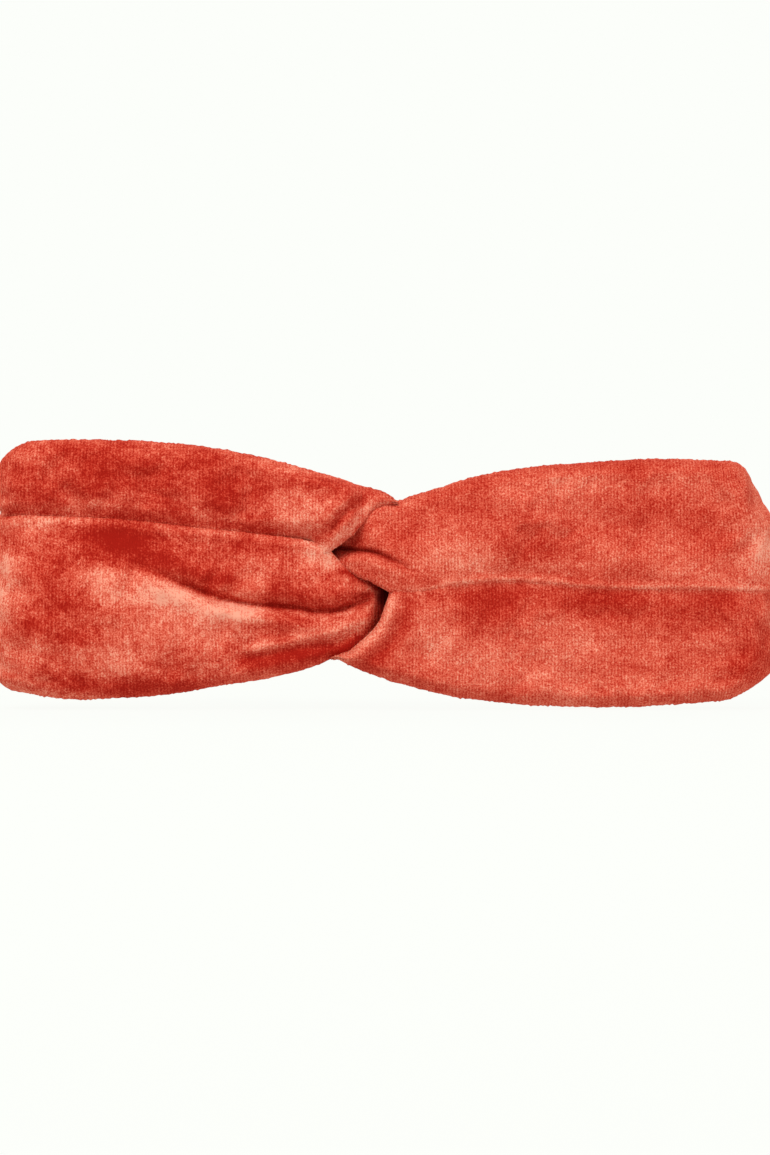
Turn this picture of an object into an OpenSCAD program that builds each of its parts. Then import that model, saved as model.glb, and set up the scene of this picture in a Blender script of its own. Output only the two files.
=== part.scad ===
// Soft twist headband: two flattened velour tube strips interlocked at the
// front, joined at the nape by a gathered casing with elastic inside.
// X runs along the band, left to right seen from the front; Y runs from the
// knot (front) to the nape (back); Z is up. The loop is pressed nearly flat
// and stands on its lower edges.

/* [Band] */
// Length of the band when the loop is pressed flat
band_len = 240; // [220:2:264]
// Height of the band on the left of the knot
band_h = 83; // [78:1:92]
// Thickness of one folded strip wall (both tube layers and their fold)
wall_t = 12; // [11:0.5:14]
// Open slit between the front run and the back run
slit = 12; // [10:0.5:16]
// Height of the right side compared with the left side
right_drop = 6.5; // [3:0.5:8]
// Height at which the two legs of each strip part
split_left = 50; // [48:0.5:53]
// Height at which the two legs on the right part
split_right = 37; // [35:0.5:40]
// How far the front leg laps over the one behind it
lap = 6; // [3:0.5:8]

/* [Knot] */
// Half length of the knot
knot_half = 26; // [24:0.5:28]
// How far the crossed strips stand in front of the band
knot_out = 4.8; // [4:0.1:7]
// Width of the limb that passes behind the knot
limb_w = 12; // [10:0.5:13]

/* [Nape] */
// Half length of the gathered casing
nape_half = 48; // [44:1:52]
// Height of the gathered casing
casing_h = 46; // [42:1:48]
// Height of the elastic inside the casing
elastic_h = 34; // [26:1:36]
// Thickness of the elastic
elastic_t = 1.6; // [1:0.1:2]
// Number of gathers on each face of the casing
gathers = 16; // [10:1:20]

/* [Thread] */
// Thickness of the sewing thread
thread_d = 0.8; // [0.6:0.1:1]
// Stitches in each joining row
join_count = 9; // [6:1:12]

/* [Hidden] */

velour = [0.81, 0.31, 0.23];
velour_dark = [0.70, 0.22, 0.16];
thread_color = [0.62, 0.17, 0.12];
elastic_color = [0.92, 0.90, 0.86];

LEFT = -1;
RIGHT = 1;
gap = 0.3;                  // between neighbouring pieces
half_len = band_len / 2;
outline_steps = 24;         // segments along each upper or lower edge

// Y of the wall faces
front_inner = -4;
front_outer = front_inner - wall_t;
rear_inner = front_inner + slit;
rear_outer = rear_inner + wall_t;
lap_y = front_outer + 6;    // back of the lapping tongue

// plan of the left end fold
corner_r = wall_t + 2;
corner_steps = 8;
front_corner = [-half_len + corner_r, front_outer + corner_r];
rear_corner = [-half_len + corner_r, rear_outer - corner_r];
fold_inner = -half_len + wall_t;    // X of the inner face of the fold
mitre = 0.11;               // half gap at the mitres, along each axis

// Y ranges of the knot layers
knot_front = front_outer - knot_out;
arm_back = front_outer + 2;         // between front arm and middle arm
middle_back = front_outer + 6.9;    // between middle arm and limb behind
layer_gap = 0.1;                    // kept on each side of those planes
wall_layer = [front_outer, front_inner];
arm_layer = [knot_front, arm_back - layer_gap];
middle_layer = [arm_back + layer_gap, middle_back - layer_gap];
limb_layer = [middle_back + layer_gap, front_inner];
turn_layer = [knot_front, front_inner];                 // front arm to limb
return_layer = [arm_back + layer_gap, front_inner];     // limb to middle arm

// casing
casing_mid = 39.5;
casing_bottom = casing_mid - casing_h / 2;
casing_top = casing_mid + casing_h / 2;
casing_y = (rear_inner + rear_outer) / 2;
slide_x = nape_half - 18;   // where the sliding end of the casing starts
hem_x = nape_half - 9;      // where the hem sewn to the right strip starts

thread_offset = thread_d / 2 + 0.05;    // thread axis to the face it lies on

// ---- helpers ----------------------------------------------------------
function reversed(list) = [for (i = [len(list) - 1:-1:0]) list[i]];
function arc(center, from, to) =
    [for (i = [0:corner_steps])
        let (angle = from + (to - from) * i / corner_steps)
        center + corner_r * [cos(angle), sin(angle)]];
// arc whose last point moves off the mitre line by shift
function mitred_arc(center, from, to, shift) =
    let (points = arc(center, from, to))
    [for (i = [0:corner_steps]) points[i] + (i == corner_steps ? shift : [0, 0])];
// smooth step from 0 to 1 that begins at start and takes length
function ramp(x, start, length) =
    let (t = max(0, min(1, (x - start) / length))) t * t * (3 - 2 * t);

// plate from [x, z] points, over the Y range of a layer
module plate(points, layer) {
    translate([0, layer[1], 0]) rotate([90, 0, 0])
        linear_extrude(layer[1] - layer[0]) polygon(points);
}
module thread_along_x(length, sides) {
    rotate([0, 90, 0]) cylinder(d = thread_d, h = length, center = true, $fn = sides);
}

// ---- edge heights along X ---------------------------------------------
// rounding of the upper and lower edges towards the end folds
function end_drop(x) = 9 * ramp(abs(x), half_len - 11, 12);
function end_lift(x, lift) = lift * ramp(abs(x), half_len - 14, 14);

// front run: full height near the ends, narrower towards the knot
left_top = function(x) band_h - 0.4
    - 13.5 * pow(ramp(x, -0.72 * half_len, 0.86 * half_len), 1.4) - end_drop(x);
left_bottom = function(x) 2.4
    + 13 * pow(ramp(x, -0.58 * half_len, 0.58 * half_len), 1.3) + end_lift(x, 3.5);
right_top = function(x) band_h - right_drop
    - 12.5 * pow(1 - ramp(x, 3, 56), 1.3) - end_drop(x);
right_bottom = function(x) 13 * pow(1 - ramp(x, -14, 62), 1.4) + end_lift(x, 6);

// back run: narrows to the casing; narrowing goes from 0 at the end to 1 there
function narrowing(x) = ramp(half_len - abs(x), 20, half_len - 20 - nape_half);
rear_top = function(x)
    let (full = band_h - (x < 0 ? 1 : right_drop))
    full - (full - casing_top) * narrowing(x) - end_drop(x);
rear_bottom = function(x)
    casing_bottom * ramp(half_len - abs(x), 42, half_len - 42 - nape_half)
    + end_lift(x, 5);

// split between the legs: edges of the lower and of the upper leg
left_split_low = function(x) split_left;
left_split_high = function(x) split_left + gap;
right_split_low = function(x) split_right - gap;
right_split_high = function(x) split_right;
left_rear_low = function(x) split_left - 9 * narrowing(x);
left_rear_high = function(x) left_rear_low(x) + gap;
right_rear_high = function(x) split_right + 4 * narrowing(x);
right_rear_low = function(x) right_rear_high(x) - gap;

// ---- strip runs -------------------------------------------------------
// Plans of the left side. Front and back run end at a mitre through the
// middle of each corner, and the end piece lies between them.
module plan_front() {
    polygon(concat(
        [[-knot_half - gap, front_inner], [-knot_half - gap, front_outer]],
        mitred_arc(front_corner, 270, 225, [mitre, -mitre]),
        [[fold_inner + mitre, front_inner - mitre]]));
}
module plan_end() {
    diagonal = corner_r * cos(45);
    polygon(concat(
        [[fold_inner - mitre, front_inner + mitre]],
        [front_corner + [-diagonal - mitre, -diagonal + mitre]],
        arc(front_corner, 222, 180),
        arc(rear_corner, 180, 138),
        [rear_corner + [-diagonal - mitre, diagonal - mitre]],
        [[fold_inner - mitre, rear_inner - mitre]]));
}
module plan_back() {
    polygon(concat(
        [[-nape_half - gap, rear_outer]],
        mitred_arc(rear_corner, 90, 135, [mitre, mitre]),
        [[fold_inner + mitre, rear_inner + mitre],
         [-nape_half - gap, rear_inner]]));
}
// one part of a strip between two edge functions; the right side is mirrored
module run(side, part, lower, upper) {
    near = side * (part == "back" ? nape_half : knot_half);
    far = side * half_len;
    stations = [for (i = [0:outline_steps]) far + (near - far) * i / outline_steps];
    intersection() {
        mirror([side == LEFT ? 0 : 1, 0, 0]) linear_extrude(band_h + 20) {
            if (part == "front") plan_front();
            if (part == "end") plan_end();
            if (part == "back") plan_back();
        }
        plate(concat([for (x = stations) [x, lower(x)]],
                     reversed([for (x = stations) [x, upper(x)]])),
              [knot_front - 1, rear_outer + 1]);
    }
}
// block that bounds the tongue of the lapping leg; grow clears its recess
module tongue(x0, x1, z0, z1, grow = 0) {
    translate([x0 - grow, front_outer - 1, z0 - grow])
        cube([x1 - x0 + 2 * grow, lap_y - front_outer + 1 + grow, z1 - z0 + 2 * grow]);
}

// the left lower leg laps up in front of the upper one
module left_lower_leg() color(velour) {
    root = split_left - 0.5;
    tip = split_left + lap;
    run(LEFT, "front", left_bottom, left_split_low);
    intersection() {
        run(LEFT, "front", function(x) root, function(x) tip);
        tongue(-half_len + corner_r, -knot_half - gap, root, tip);
    }
}
module left_upper_leg() color(velour_dark) difference() {
    run(LEFT, "front", left_split_high, left_top);
    tongue(-half_len + corner_r, -knot_half + 1, split_left - 1, split_left + lap, gap);
}
// the right upper leg laps down in front of the lower one
module right_upper_leg() color(velour) {
    root = split_right + 0.5;
    tip = split_right - lap;
    run(RIGHT, "front", right_split_high, right_top);
    intersection() {
        run(RIGHT, "front", function(x) tip, function(x) root);
        tongue(knot_half + gap, half_len - corner_r, tip, root);
    }
}
module right_lower_leg() color(velour_dark) difference() {
    run(RIGHT, "front", right_bottom, right_split_low);
    tongue(knot_half - 1, half_len - corner_r, split_right - lap, split_right + 1, gap);
}

module left_upper_end() color(velour_dark) run(LEFT, "end", left_split_high, left_top);
module left_lower_end() color(velour) run(LEFT, "end", left_bottom, left_split_low);
module right_upper_end() color(velour) run(RIGHT, "end", right_split_high, right_top);
module right_lower_end() color(velour_dark)
    run(RIGHT, "end", right_bottom, right_split_low);

module left_upper_rear() color(velour_dark) run(LEFT, "back", left_rear_high, rear_top);
module left_lower_rear() color(velour) run(LEFT, "back", rear_bottom, left_rear_low);
module right_upper_rear() color(velour) run(RIGHT, "back", right_rear_high, rear_top);
module right_lower_rear() color(velour_dark)
    run(RIGHT, "back", rear_bottom, right_rear_low);

// ---- knot: two interlocked loops, outlines as [x, z] points -----------
module left_loop_bend() color(velour) {
    outer = -knot_half;
    shoulder = -17;
    limb = 2;
    limb_end = limb + limb_w;
    slot_top = split_left + gap;
    // shoulders that carry on the two left legs, with a slot between them
    plate([[outer, slot_top], [shoulder, slot_top],
           [shoulder, left_top(shoulder)], [outer, left_top(outer)]], wall_layer);
    plate([[outer, left_bottom(outer)], [shoulder, left_bottom(shoulder)],
           [shoulder, split_left], [outer, split_left]], wall_layer);
    // arm in front
    plate([[outer, slot_top + 1], [-17.5, slot_top + 0.5], [5, 63], [14, 66.5], [14, 70],
           [limb, 69.2], [-8, 70], [shoulder, left_top(shoulder)],
           [outer, left_top(outer)]], arm_layer);
    // over the top to the limb behind
    plate([[limb, 66.5], [limb_end, 66.5], [limb_end, 70], [limb, 69.2]], turn_layer);
    plate([[limb, 14.5], [limb_end, 14.5], [limb_end, 68], [limb, 68]], limb_layer);
    // back to the left through the other loop
    plate([[-17.5, 16], [-12, 16.5], [limb_end, 14.5], [limb_end, 40], [-2, 42],
           [-17.5, 45]], middle_layer);
    plate([[limb, 14.5], [limb_end, 14.5], [limb_end, 40], [limb, 41]], return_layer);
}
module right_loop_bend() color(velour_dark) {
    outer = knot_half;
    shoulder = 16;
    limb = -15;
    limb_end = limb + limb_w;
    slot_bottom = split_right - gap;
    // shoulders that carry on the two right legs, with a slot between them
    plate([[shoulder, split_right], [outer, split_right],
           [outer, right_top(outer)], [shoulder, right_top(shoulder)]], wall_layer);
    plate([[shoulder, right_bottom(shoulder)], [outer, right_bottom(outer)],
           [outer, slot_bottom], [shoulder, slot_bottom]], wall_layer);
    // arm in front, lower
    plate([[outer, slot_bottom], [3, 36], [-6, 26], [limb, 15.5], [limb, 12.8], [-2, 10.5],
           [shoulder, right_bottom(shoulder)], [outer, right_bottom(outer)]], arm_layer);
    // under the bottom to the limb behind
    plate([[limb, 12.8], [limb, 14], [limb_end, 14], [limb_end, 10.7]], turn_layer);
    plate([[limb, 13], [limb_end, 13], [limb_end, 65], [limb, 62]], limb_layer);
    // back to the right through the other loop
    plate([[limb, 50.8], [-2, 46], [16.5, split_right + 5], [16.5, 65.5], [4, 62],
           [limb, 50.9]], middle_layer);
    plate([[limb, 46], [limb_end, 46], [limb_end, 58], [limb, 51]], return_layer);
}
// thread bars behind the knot that keep the two loops from slipping
module knot_tack_stitches() color(thread_color)
    for (z = [28, 40, 52])
        translate([-0.5, front_inner + thread_offset, z]) thread_along_x(7, 24);

// ---- closing seams of the tubes, on the inner faces -------------------
module seam_rows(x0, x1, y, heights) {
    pitch = 4;
    for (z = heights, i = [0:floor((x1 - x0) / pitch) - 1])
        translate([x0 + (i + 0.5) * pitch, y, z]) thread_along_x(pitch * 0.7, 16);
}
front_seam_y = front_inner + thread_offset;
rear_seam_y = rear_inner - thread_offset;
front_seam_end = half_len - 16;
rear_seam_end = half_len - 20;
seam_margin = 4;            // from the knot or the casing

module left_front_seams() color(thread_color)
    seam_rows(-front_seam_end, -knot_half - seam_margin, front_seam_y,
              [split_left + 14, 26]);
module right_front_seams() color(thread_color)
    seam_rows(knot_half + seam_margin, front_seam_end, front_seam_y,
              [split_right + 18, 18]);
module left_rear_seams() color(thread_color)
    seam_rows(-rear_seam_end, -nape_half - seam_margin, rear_seam_y,
              [split_left + 8, 26]);
module right_rear_seams() color(thread_color)
    seam_rows(nape_half + seam_margin, rear_seam_end, rear_seam_y,
              [split_right + 16, 20]);

// ---- nape -------------------------------------------------------------
gather_depth = 0.8;         // half the depth of a gather
gather_steps = 4;           // segments in one gather
channel_side = 0.5;         // room in front of and behind the elastic
channel_edge = 0.8;         // room above and below the elastic
elastic_grip = 3;           // length of elastic held in the casing end
join_inset = 0.7;           // joining rows from the ends of the nape

// block centred on the casing in Y and Z
module nape_block(x0, x1, depth, height) {
    translate([x0, casing_y - depth / 2, casing_mid - height / 2])
        cube([x1 - x0, depth, height]);
}
// one gathered face; inward is the Y direction into the casing
function gathered_face(x0, x1, y, inward) =
    let (count = gathers * gather_steps)
    [for (i = [0:count])
        [x0 + (x1 - x0) * i / count,
         y + inward * gather_depth * (1 - cos(360 * i / gather_steps))]];

module nape_casing() color(velour) difference() {
    translate([0, 0, casing_bottom]) linear_extrude(casing_h) polygon(concat(
        gathered_face(-nape_half, slide_x - gap, rear_inner, 1),
        reversed(gathered_face(-nape_half, slide_x - gap, rear_outer, -1))));
    // channel in which the elastic runs, open on the right
    nape_block(-nape_half + 6, nape_half + 6,
               elastic_t + 2 * channel_side, elastic_h + 2 * channel_edge);
}
module casing_end() color(velour_dark) difference() {
    nape_block(slide_x, hem_x - 0.8, wall_t, casing_h);
    nape_block(slide_x - 1, slide_x + elastic_grip, elastic_t, elastic_h);
}
module casing_right_hem() color(velour_dark)
    nape_block(hem_x, nape_half, wall_t, casing_h);
module nape_elastic() color(elastic_color)
    nape_block(-nape_half + 8, slide_x + elastic_grip, elastic_t, elastic_h);

// upright row of stitches on the outer face of the back run
module join_row(x) {
    margin = 4;
    pitch = (casing_h - 2 * margin) / join_count;
    for (i = [0:join_count - 1])
        translate([x, rear_outer + thread_offset, casing_bottom + margin + (i + 0.5) * pitch])
            cylinder(d = thread_d, h = pitch * 0.65, center = true, $fn = 16);
}
module left_join_stitches() color(thread_color) join_row(-nape_half + join_inset);
module right_join_stitches() color(thread_color) join_row(nape_half - join_inset);

left_loop_bend();
right_loop_bend();
knot_tack_stitches();
left_upper_leg();
left_lower_leg();
left_front_seams();
right_upper_leg();
right_lower_leg();
right_front_seams();
left_upper_end();
left_lower_end();
right_upper_end();
right_lower_end();
left_upper_rear();
left_lower_rear();
left_rear_seams();
right_upper_rear();
right_lower_rear();
right_rear_seams();
nape_casing();
left_join_stitches();
nape_elastic();
casing_end();
casing_right_hem();
right_join_stitches();
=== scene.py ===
"""A velour headband, pressed flat and standing on its lower edge.

It lies along X: the knot is at the middle of the front run (-Y side), the end folds are at
-X (left) and +X (right), and the back run (+Y side) ends in a gathered casing round an
elastic. Each half is a lower and an upper strip running from the knot, round the end fold,
to the nape. Shapes are worked out in millimetres; Blender objects are in metres.
"""
import math

import bmesh
import bpy
import numpy as np
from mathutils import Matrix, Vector


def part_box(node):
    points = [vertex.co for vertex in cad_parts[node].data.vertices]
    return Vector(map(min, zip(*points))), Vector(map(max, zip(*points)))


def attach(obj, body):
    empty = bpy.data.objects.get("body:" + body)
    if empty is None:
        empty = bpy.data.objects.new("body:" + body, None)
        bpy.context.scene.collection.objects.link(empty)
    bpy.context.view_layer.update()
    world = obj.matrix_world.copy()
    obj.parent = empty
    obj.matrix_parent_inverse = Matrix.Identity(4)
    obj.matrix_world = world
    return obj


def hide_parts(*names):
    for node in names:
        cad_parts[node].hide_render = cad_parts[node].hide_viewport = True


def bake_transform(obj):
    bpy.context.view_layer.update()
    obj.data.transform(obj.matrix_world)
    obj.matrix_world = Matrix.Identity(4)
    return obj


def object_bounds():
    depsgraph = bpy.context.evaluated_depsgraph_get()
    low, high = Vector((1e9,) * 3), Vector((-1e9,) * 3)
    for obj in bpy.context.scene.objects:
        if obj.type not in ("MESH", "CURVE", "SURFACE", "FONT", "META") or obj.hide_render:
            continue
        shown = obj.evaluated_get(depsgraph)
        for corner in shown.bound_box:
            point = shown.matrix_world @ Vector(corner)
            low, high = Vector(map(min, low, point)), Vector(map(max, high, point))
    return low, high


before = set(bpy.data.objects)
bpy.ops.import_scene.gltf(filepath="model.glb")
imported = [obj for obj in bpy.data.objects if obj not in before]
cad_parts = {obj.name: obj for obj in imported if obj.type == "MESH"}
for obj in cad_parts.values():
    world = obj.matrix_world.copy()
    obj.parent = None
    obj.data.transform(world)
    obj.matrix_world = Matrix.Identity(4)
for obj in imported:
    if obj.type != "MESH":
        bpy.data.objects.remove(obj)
cad_lo, cad_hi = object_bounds()
MM = 0.001


# ------------------------------------------------------------------ frame sizes, mm
def box_mm(name):
    return [np.array(corner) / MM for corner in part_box(name)]


HALF = cad_hi.x / MM                     # half length of the pressed band
low_corner, high_corner = box_mm("left_upper_leg")
FRONT_OUT, FRONT_IN = low_corner[1], high_corner[1]     # y of the front run's faces
low_corner, high_corner = box_mm("left_upper_rear")
BACK_IN, BACK_OUT = low_corner[1], high_corner[1]       # y of the back run's faces
low_corner, high_corner = box_mm("nape_casing")
CASE_LOW, CASE_HIGH = low_corner[2], high_corner[2]
CASE_MID = 0.5 * (CASE_LOW + CASE_HIGH)
NAPE = -low_corner[0]                    # half length of the casing
HEM_X = box_mm("casing_right_hem")[0][0]
KNOT = -box_mm("left_loop_bend")[0][0]   # half length of the knot
RUN = FRONT_IN - FRONT_OUT               # thickness of one run
FOLD_R = RUN + 2.0                       # corner radius of the end folds
BEND = HALF - FOLD_R                     # |x| where the end folds start


# ------------------------------------------------------------------ numeric helpers
def interp(table, x):
    points = np.array(table, float)
    return np.interp(x, points[:, 0], points[:, 1])


def smooth_table(table, width):
    """The table as a function, linearly interpolated and softened over +-width."""
    offsets = np.linspace(-width, width, 9)
    weights = np.cos(offsets / width * math.pi / 2) ** 2 + 0.02
    weights /= weights.sum()
    return lambda x: sum(w * interp(table, x + o) for o, w in zip(offsets, weights))


def smoothstep(t):
    t = np.clip(t, 0, 1)
    return t * t * (3 - 2 * t)


def ramp(x, start, end):
    return smoothstep((x - start) / (end - start))


def unit(vectors):
    return vectors / np.maximum(np.linalg.norm(vectors, axis=-1)[..., None], 1e-9)


class Field:
    """Smooth seeded random field: a sum of plane waves."""
    def __init__(self, seed, scale, count):
        random = np.random.RandomState(seed)
        direction = random.normal(size=(count, 3))
        direction /= np.linalg.norm(direction, axis=1)[:, None]
        number = 2 * math.pi / (scale * random.uniform(0.6, 1.6, count))
        self.waves = direction * number[:, None]
        self.phases = random.uniform(0, 2 * math.pi, count)
        self.gain = math.sqrt(2.0 / count)

    def __call__(self, x, y, z):
        points = np.stack(np.broadcast_arrays(x, y, z), -1)
        flat = points.reshape(-1, 3)
        total = np.zeros(len(flat))
        for wave, phase in zip(self.waves, self.phases):
            total += np.cos(flat @ wave + phase)
        return (total * self.gain).reshape(points.shape[:-1])


field_large = Field(3, 38, 20)
field_middle = Field(7, 15, 26)
field_small = Field(11, 6.5, 30)
field_gathers = Field(17, 12, 20)


def line_distance(x, z, line):
    """Signed distance to a polyline (positive above it) and the share of its length."""
    x, z = np.broadcast_arrays(x, z)
    line = np.array(line, float)
    best = np.full(x.shape, 1e9)
    sign = np.ones(x.shape)
    share = np.zeros(x.shape)
    segments = np.diff(line, axis=0)
    lengths = np.hypot(segments[:, 0], segments[:, 1])
    passed = np.concatenate([[0], np.cumsum(lengths)])
    for i in range(len(segments)):
        a = line[i]
        d = segments[i] / lengths[i]
        t = np.clip((x - a[0]) * d[0] + (z - a[1]) * d[1], 0, lengths[i])
        gap = np.hypot(x - (a[0] + t * d[0]), z - (a[1] + t * d[1]))
        above = np.where(d[0] * (z - a[1]) - d[1] * (x - a[0]) >= 0, 1.0, -1.0)
        nearer = gap < best
        best = np.where(nearer, gap, best)
        sign = np.where(nearer, above, sign)
        share = np.where(nearer, (passed[i] + t) / passed[-1], share)
    return best * sign, share


def fade_ends(share, fade):
    return smoothstep(share / fade[0]) * smoothstep((1 - share) / fade[1])


def crease(x, z, line, deep, width, up=0.0, up_w=3.0, down=0.0, down_w=3.0, fade=(0.12, 0.12)):
    """Depth of a valley along a line, with a rounded shoulder above (up) or below (down) it."""
    d, share = line_distance(x, z, line)
    valley = deep * np.exp(-(d / width) ** 2)
    valley = valley - up * np.exp(-((d - 1.3 * up_w) / up_w) ** 2)
    valley = valley - down * np.exp(-((d + 1.3 * down_w) / down_w) ** 2)
    return valley * fade_ends(share, fade)


# ------------------------------------------------------------------ outlines: (x, z), front view
LEFT_TOP = [
    (-122, 74), (-119.6, 77.8), (-118.3, 79.9), (-115, 81.6), (-112, 82.3), (-106, 82.6),
    (-100, 82.8), (-88, 82.8), (-75, 82.5), (-63, 81.5), (-51, 80), (-38, 77.5), (-26, 74.2),
    (-14, 70.8), (-8, 68.6), (-1.5, 67.1), (1.5, 65.4), (3.7, 63.6)]
RIGHT_TOP = [
    (3.7, 63.6), (7.7, 65.2), (11, 66.2), (17, 68), (23, 70.2), (29, 71.7), (35, 72.9), (41, 73.8),
    (48, 74.7), (54, 75.2), (66, 76), (80, 76.8), (92, 76.8), (103, 76.4), (112, 76.2), (117, 75.8),
    (119.5, 74.8), (122, 73.5)]
LEFT_BOTTOM = [
    (-122, 7.2), (-118.5, 5.0), (-112, 4.4), (-106, 3.6), (-100, 2.8), (-94, 2.3), (-88, 2.7),
    (-75, 3.2), (-63, 4.6), (-51, 6.8), (-38, 8.7), (-26, 11.4), (-20, 13.5), (-15.4, 15.7)]
RIGHT_BOTTOM = [
    (-15.4, 15.7), (-10.8, 13.2), (-7.7, 11.7), (-4.6, 10.5), (1.5, 8.3), (7.7, 6.7), (17, 4.3),
    (23, 3.1), (29, 2.4), (41, 1), (54, 0.4), (66, 0.1), (78, 0.3), (97, 1.5), (109, 2.5),
    (115, 4.2), (118.2, 5.6), (121, 7.2)]
# upper edge of the left lower strip
LAP = [
    (-122, 58.2), (-112, 59.4), (-106, 59.2), (-94, 58.8), (-81, 58.2), (-69, 56.9), (-57, 55.4),
    (-44.6, 54.3), (-32, 52.8), (-26, 52), (-20, 50.6), (-16.6, 48.4), (-13.8, 45), (-10.8, 42.8),
    (-8.3, 41.2), (-4.6, 40), (-1.5, 38.5), (1.5, 36.5), (4.6, 34.4), (9, 32.6)]
# lower edge of the left upper strip where it rolls over the knot
ROLL_EDGE = [
    (-17.5, 47.6), (-15.5, 49.2), (-13.8, 50.2), (-12.3, 51.4), (-10.2, 52.9), (-7.1, 56.3),
    (-4.6, 58.8), (-3.4, 60.4), (0, 62.0), (3.7, 62.7), (6, 62.9)]
# upper edge of the right lower strip under the knot
WRAP_EDGE = [
    (-17, 15.4), (-15.4, 16), (-10.8, 17.8), (-9.2, 19.1), (-7.1, 20.9), (-4.6, 23.1),
    (-2.8, 24.9), (-1.2, 27.7), (-0.3, 30.2), (0.6, 33.2), (1.5, 36)]
# where the two right strips lap
RIDGE = [
    (1.5, 35.8), (10.8, 35.7), (17, 36.9), (23, 37.8), (29, 38.5), (41.5, 38.8), (54, 37.8),
    (60, 36.9), (72, 36.3), (97, 36.3), (122, 35.7)]
# lower edge of the right upper strip at the knot
UNDER_EDGE = [(-16, 46.4), (-13.8, 44.0), (-10.8, 41.8), (-8.3, 40.2), (-4.6, 38.9), (-1.5, 37.4),
              (1.5, 35.4)]
UNDER_LOW = [(-21, 48.2), (-17.2, 48.2), *UNDER_EDGE[:-1], (0.3, 36.2), UNDER_EDGE[-1]]
# edges hidden behind other strips
UNDER_HIGH = [
    (-21, 51), (-18, 51.6), (-15.5, 53.2), (-13.8, 54.4), (-10.2, 57.2), (-7.1, 60.4),
    (-4.6, 62.6), (0, 64.2), (3.7, 63.9), (5, 64.3)]
WRAP_HIGH = [(1.5, 36.2), (3, 37.2), (5, 38.6), (9, 41), (20, 44.0), (60, 44), (122, 43)]
LAP_TIP_LOW = [(-17, 15.0), (-10.8, 14.6), (-7, 16), (-4.6, 18), (-1.2, 22), (1.5, 26), (4.6, 29),
               (9, 31.2)]
ROLL_TIP_HIGH = [(3, 64.0), (4.4, 63.6), (5.6, 63.1)]

left_top = smooth_table(LEFT_TOP, 1.6)
left_bottom = smooth_table(LEFT_BOTTOM, 1.6)
right_top = smooth_table(RIGHT_TOP, 1.6)
right_bottom = smooth_table(RIGHT_BOTTOM, 1.6)
lap = smooth_table(LAP, 1.6)
roll_edge = smooth_table(ROLL_EDGE, 0.9)
wrap_edge = smooth_table(WRAP_EDGE, 0.7)
ridge = smooth_table(RIDGE, 2.5)

# creases and folds on the front faces: (x, z)
LOW_FOLD = [
    (-81.5, 45.5), (-69, 41), (-57, 36.3), (-50.8, 34.2), (-44.6, 32.9), (-38.5, 32), (-32.3, 31.4),
    (-26, 30.8), (-23, 29.9), (-17, 29.9), (-12.3, 30.8), (-7.7, 32.3), (-3, 33.8)]
LOW_FOLD_TIP = [(-10.8, 33.2), (-7.5, 34.2), (-3.5, 35.4)]
LOW_BAND = [(-50.8, 16.3), (-38.5, 18.5), (-26, 20.9), (-13.8, 23.4), (-7.7, 27)]
RIGHT_FOLD = [(-17, 48.4), (-13.8, 49.2), (-7.7, 48.6), (-4.6, 48.3), (-1.5, 47.4), (1.5, 45.8),
              (4.6, 44.3), (7.7, 42.5), (12, 40)]
ROLL_FOLD = [(-1.5, 64.9), (-6.2, 64), (-10.8, 61.5), (-13.8, 58.8), (-17, 54.8), (-19, 51.5)]
ROLL_LINE = [(-17.5, 47.9), (-13.8, 50.2), (-10.2, 52.9), (-7.1, 56.3), (-4.6, 58.8), (-3.4, 60.6),
             (0, 62.6)]

# ------------------------------------------------------------------ strips
STEP = 0.75                              # station spacing along the runs
ARC_STEPS = 25
END_STEPS = 8
# how far the right end fold stands back at each height: (z, setback)
UPPER_LEAN = [(50, 0), (56, 0.5), (59.5, 2.0), (63.4, 4.4), (69.8, 6.9), (75.8, 8.3), (82, 9.2)]
LOWER_LEAN = [(0, 6.5), (2.8, 4.8), (5.4, 3.6), (8.3, 1.9), (12, 0.3), (15, 0)]


def ring(outer_count=78, inner_count=40):
    """Share of the height round one ring, and which points are on the inner side.

    The outer side comes first, bottom to top, then the inner side, top to bottom.
    """
    def spread(count):
        t = np.linspace(0, 1, count)
        cosine = np.cos(math.pi * t)
        return 0.5 - 0.5 * cosine * (0.72 + 0.28 * np.abs(cosine))
    share = np.concatenate([spread(outer_count), spread(inner_count)[::-1][1:-1]])
    return share, np.arange(len(share)) >= outer_count


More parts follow.
